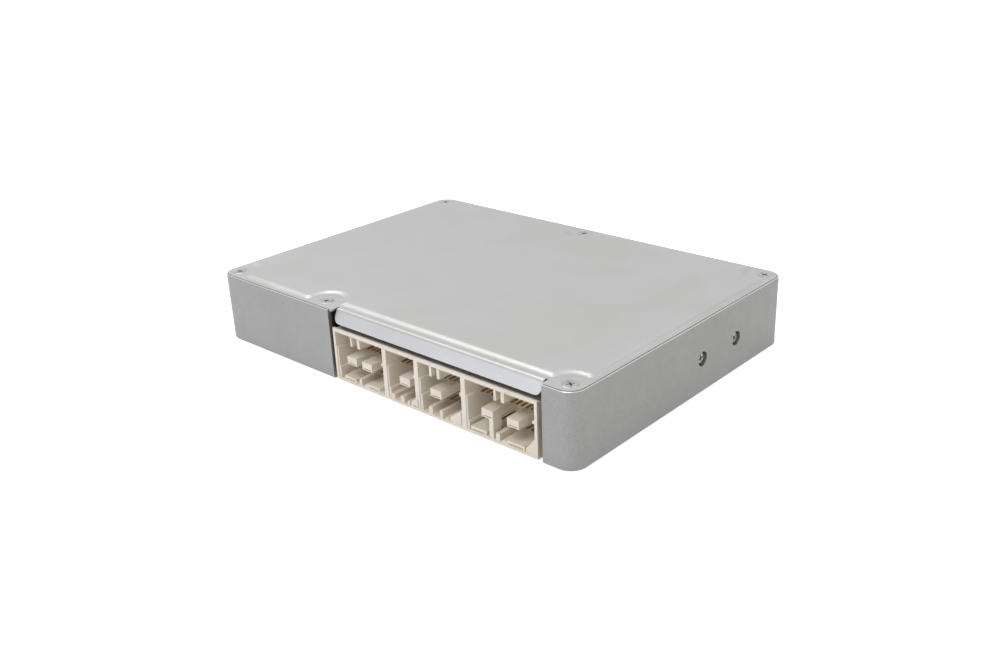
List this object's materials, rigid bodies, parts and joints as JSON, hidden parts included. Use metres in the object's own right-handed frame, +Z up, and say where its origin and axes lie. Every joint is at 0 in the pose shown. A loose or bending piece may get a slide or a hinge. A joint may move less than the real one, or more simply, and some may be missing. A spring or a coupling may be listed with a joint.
{
  "type": "engine control unit",
  "caption": "Flat engine control unit: cast aluminium case, pressed cover with a bent flap, and a cream plug header with open bays along the front.",
  "frame": {"origin": "centre of the bottom face of the overall box", "axes": "+X along the front to the right as seen from the front, -Y out of the plug header, +Z up through the cover"},
  "size_m": [0.2, 0.144, 0.0318],
  "materials": {
    "case_aluminium": "fine blasted, clear passivated die casting",
    "cover_sheet": "satin pressed sheet",
    "screw_steel": "zinc plated",
    "header_plastic": "cream glass-filled polyester, moulded",
    "pin_metal": "tin plated brass",
    "board_laminate": "green solder mask on glass-epoxy laminate",
    "clamp_steel": "folded spring steel",
    "insulating_sheet": "silicone on glass cloth",
    "chip_moulding": "black epoxy moulding",
    "capacitor_sleeve": "dark shrink sleeve",
    "ferrite": "ferrite and enamelled wire",
    "crystal_can": "drawn can",
    "network_coating": "dipped coating",
    "small_part_ceramic": "ceramic with tinned ends"
  },
  "bodies": {
    "root": {"case_body": "case_aluminium", "top_cover": "cover_sheet", "cover_screws": "screw_steel", "board_screws": "screw_steel", "header_screws": "screw_steel", "side_screws": "screw_steel", "connector_housing": "header_plastic", "circuit_board": "board_laminate", "clamp_bar": "clamp_steel", "heat_pad": "insulating_sheet", "bay_1_pins": "pin_metal", "bay_2_pins": "pin_metal", "bay_3_pins": "pin_metal", "bay_4_pins": "pin_metal", "power_transistor_1": "chip_moulding", "power_transistor_2": "chip_moulding", "power_transistor_3": "chip_moulding", "power_transistor_4": "chip_moulding", "microcontroller": "chip_moulding", "memory_chip": "chip_moulding", "sensor_interface": "chip_moulding", "ignition_driver": "chip_moulding", "output_driver_1": "chip_moulding", "output_driver_2": "chip_moulding", "filter_capacitor_1": "capacitor_sleeve", "filter_capacitor_2": "capacitor_sleeve", "filter_capacitor_3": "capacitor_sleeve", "choke": "ferrite", "crystal": "crystal_can", "surge_diode": "chip_moulding", "resistor_network_1": "network_coating", "resistor_network_2": "network_coating", "chip_capacitors": "small_part_ceramic", "chip_resistors": "small_part_ceramic"}
  },
  "joints": []
}
